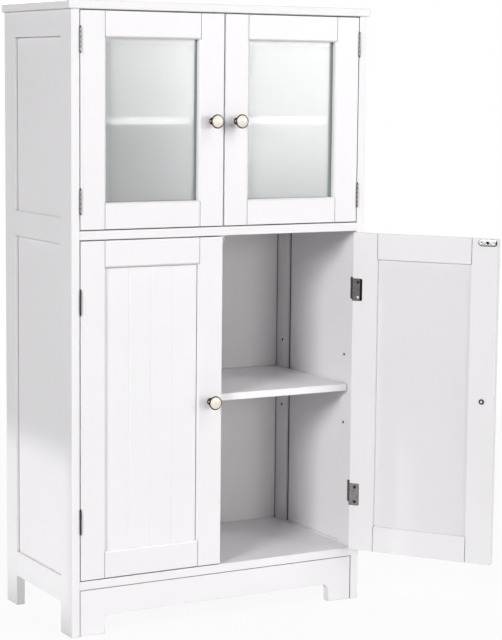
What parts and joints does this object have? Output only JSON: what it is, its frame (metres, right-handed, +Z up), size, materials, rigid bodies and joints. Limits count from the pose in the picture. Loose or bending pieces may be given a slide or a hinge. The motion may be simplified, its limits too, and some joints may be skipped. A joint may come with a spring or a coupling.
{
  "type": "glass door cabinet",
  "caption": "Tall free-standing bathroom cabinet in white-painted frame and panel work, with frosted glass doors above beaded panel doors, loose shelves and round knobs.",
  "frame": {"origin": "on the floor, under the middle of the carcass", "axes": "+Z up, -Y towards someone who faces the doors, +X to that person's right"},
  "size_m": [0.729, 0.5153, 1.071],
  "materials": {
    "carcass_paint": "white paint on fibreboard, satin",
    "door_paint": "white paint on fibreboard, satin",
    "shelf_paint": "white paint on fibreboard, satin",
    "back_paint": "white paint on thin fibreboard",
    "frosted_glass": "frosted",
    "clip_plastic": "moulded",
    "knob_metal": "polished antique nickel",
    "knob_ceramic": "glazed, ivory white",
    "hinge_steel": "dark plated",
    "strike_nickel": "nickel plated",
    "screw_steel": "zinc plated",
    "pin_steel": "nickel plated",
    "catch_plastic": "moulded",
    "magnet_steel": "dull",
    "dowel_beech": "bare"
  },
  "bodies": {
    "carcass": {"back_panel": "back_paint", "bottom_board": "carcass_paint", "carcass_screws": "screw_steel", "catch_housings": "catch_plastic", "catch_magnets": "magnet_steel", "dowels": "dowel_beech", "front_apron": "carcass_paint", "hinge_pins": "hinge_steel", "hinge_post_leaves": "hinge_steel", "left_back_stile": "carcass_paint", "left_bottom_rail": "carcass_paint", "left_front_stile": "carcass_paint", "left_middle_rail": "carcass_paint", "left_side_panels": "carcass_paint", "left_top_rail": "carcass_paint", "lower_shelf": "shelf_paint", "middle_board": "carcass_paint", "right_back_stile": "carcass_paint", "right_bottom_rail": "carcass_paint", "right_front_stile": "carcass_paint", "right_middle_rail": "carcass_paint", "right_side_panels": "carcass_paint", "right_top_rail": "carcass_paint", "shelf_pins": "pin_steel", "top_panel": "carcass_paint", "upper_shelf": "shelf_paint"},
    "upper_left_door": {"upper_left_door_glass": "frosted_glass", "upper_left_door_glass_clips": "clip_plastic", "upper_left_door_hinge_leaves": "hinge_steel", "upper_left_door_knob_base": "knob_metal", "upper_left_door_knob_face": "knob_ceramic", "upper_left_door_rails": "door_paint", "upper_left_door_screws": "screw_steel", "upper_left_door_stiles": "door_paint", "upper_left_door_strike_plate": "strike_nickel"},
    "upper_right_door": {"upper_right_door_glass": "frosted_glass", "upper_right_door_glass_clips": "clip_plastic", "upper_right_door_hinge_leaves": "hinge_steel", "upper_right_door_knob_base": "knob_metal", "upper_right_door_knob_face": "knob_ceramic", "upper_right_door_rails": "door_paint", "upper_right_door_screws": "screw_steel", "upper_right_door_stiles": "door_paint", "upper_right_door_strike_plate": "strike_nickel"},
    "lower_left_door": {"lower_left_door_hinge_leaves": "hinge_steel", "lower_left_door_knob_base": "knob_metal", "lower_left_door_knob_face": "knob_ceramic", "lower_left_door_panel": "door_paint", "lower_left_door_rails": "door_paint", "lower_left_door_screws": "screw_steel", "lower_left_door_stiles": "door_paint", "lower_left_door_strike_plate": "strike_nickel"},
    "lower_right_door": {"lower_right_door_hinge_leaves": "hinge_steel", "lower_right_door_knob_base": "knob_metal", "lower_right_door_knob_face": "knob_ceramic", "lower_right_door_panel": "door_paint", "lower_right_door_rails": "door_paint", "lower_right_door_screws": "screw_steel", "lower_right_door_stiles": "door_paint", "lower_right_door_strike_plate": "strike_nickel"}
  },
  "joints": [
    {"name": "upper_left_door_hinge", "type": "hinge", "parent": "carcass", "child": "upper_left_door", "pos_m": [-0.27115, -0.1438, 0.8745], "axis": [0, 0, -1], "range_deg": [0, 170]},
    {"name": "upper_right_door_hinge", "type": "hinge", "parent": "carcass", "child": "upper_right_door", "pos_m": [0.27115, -0.1438, 0.8745], "axis": [0, 0, 1], "range_deg": [0, 170]},
    {"name": "lower_left_door_hinge", "type": "hinge", "parent": "carcass", "child": "lower_left_door", "pos_m": [-0.27115, -0.1438, 0.3864], "axis": [0, 0, -1], "range_deg": [0, 170]},
    {"name": "lower_right_door_hinge", "type": "hinge", "parent": "carcass", "child": "lower_right_door", "pos_m": [0.27115, -0.1438, 0.3864], "axis": [0, 0, 1], "range_deg": [-125.5, 44.5]}
  ]
}
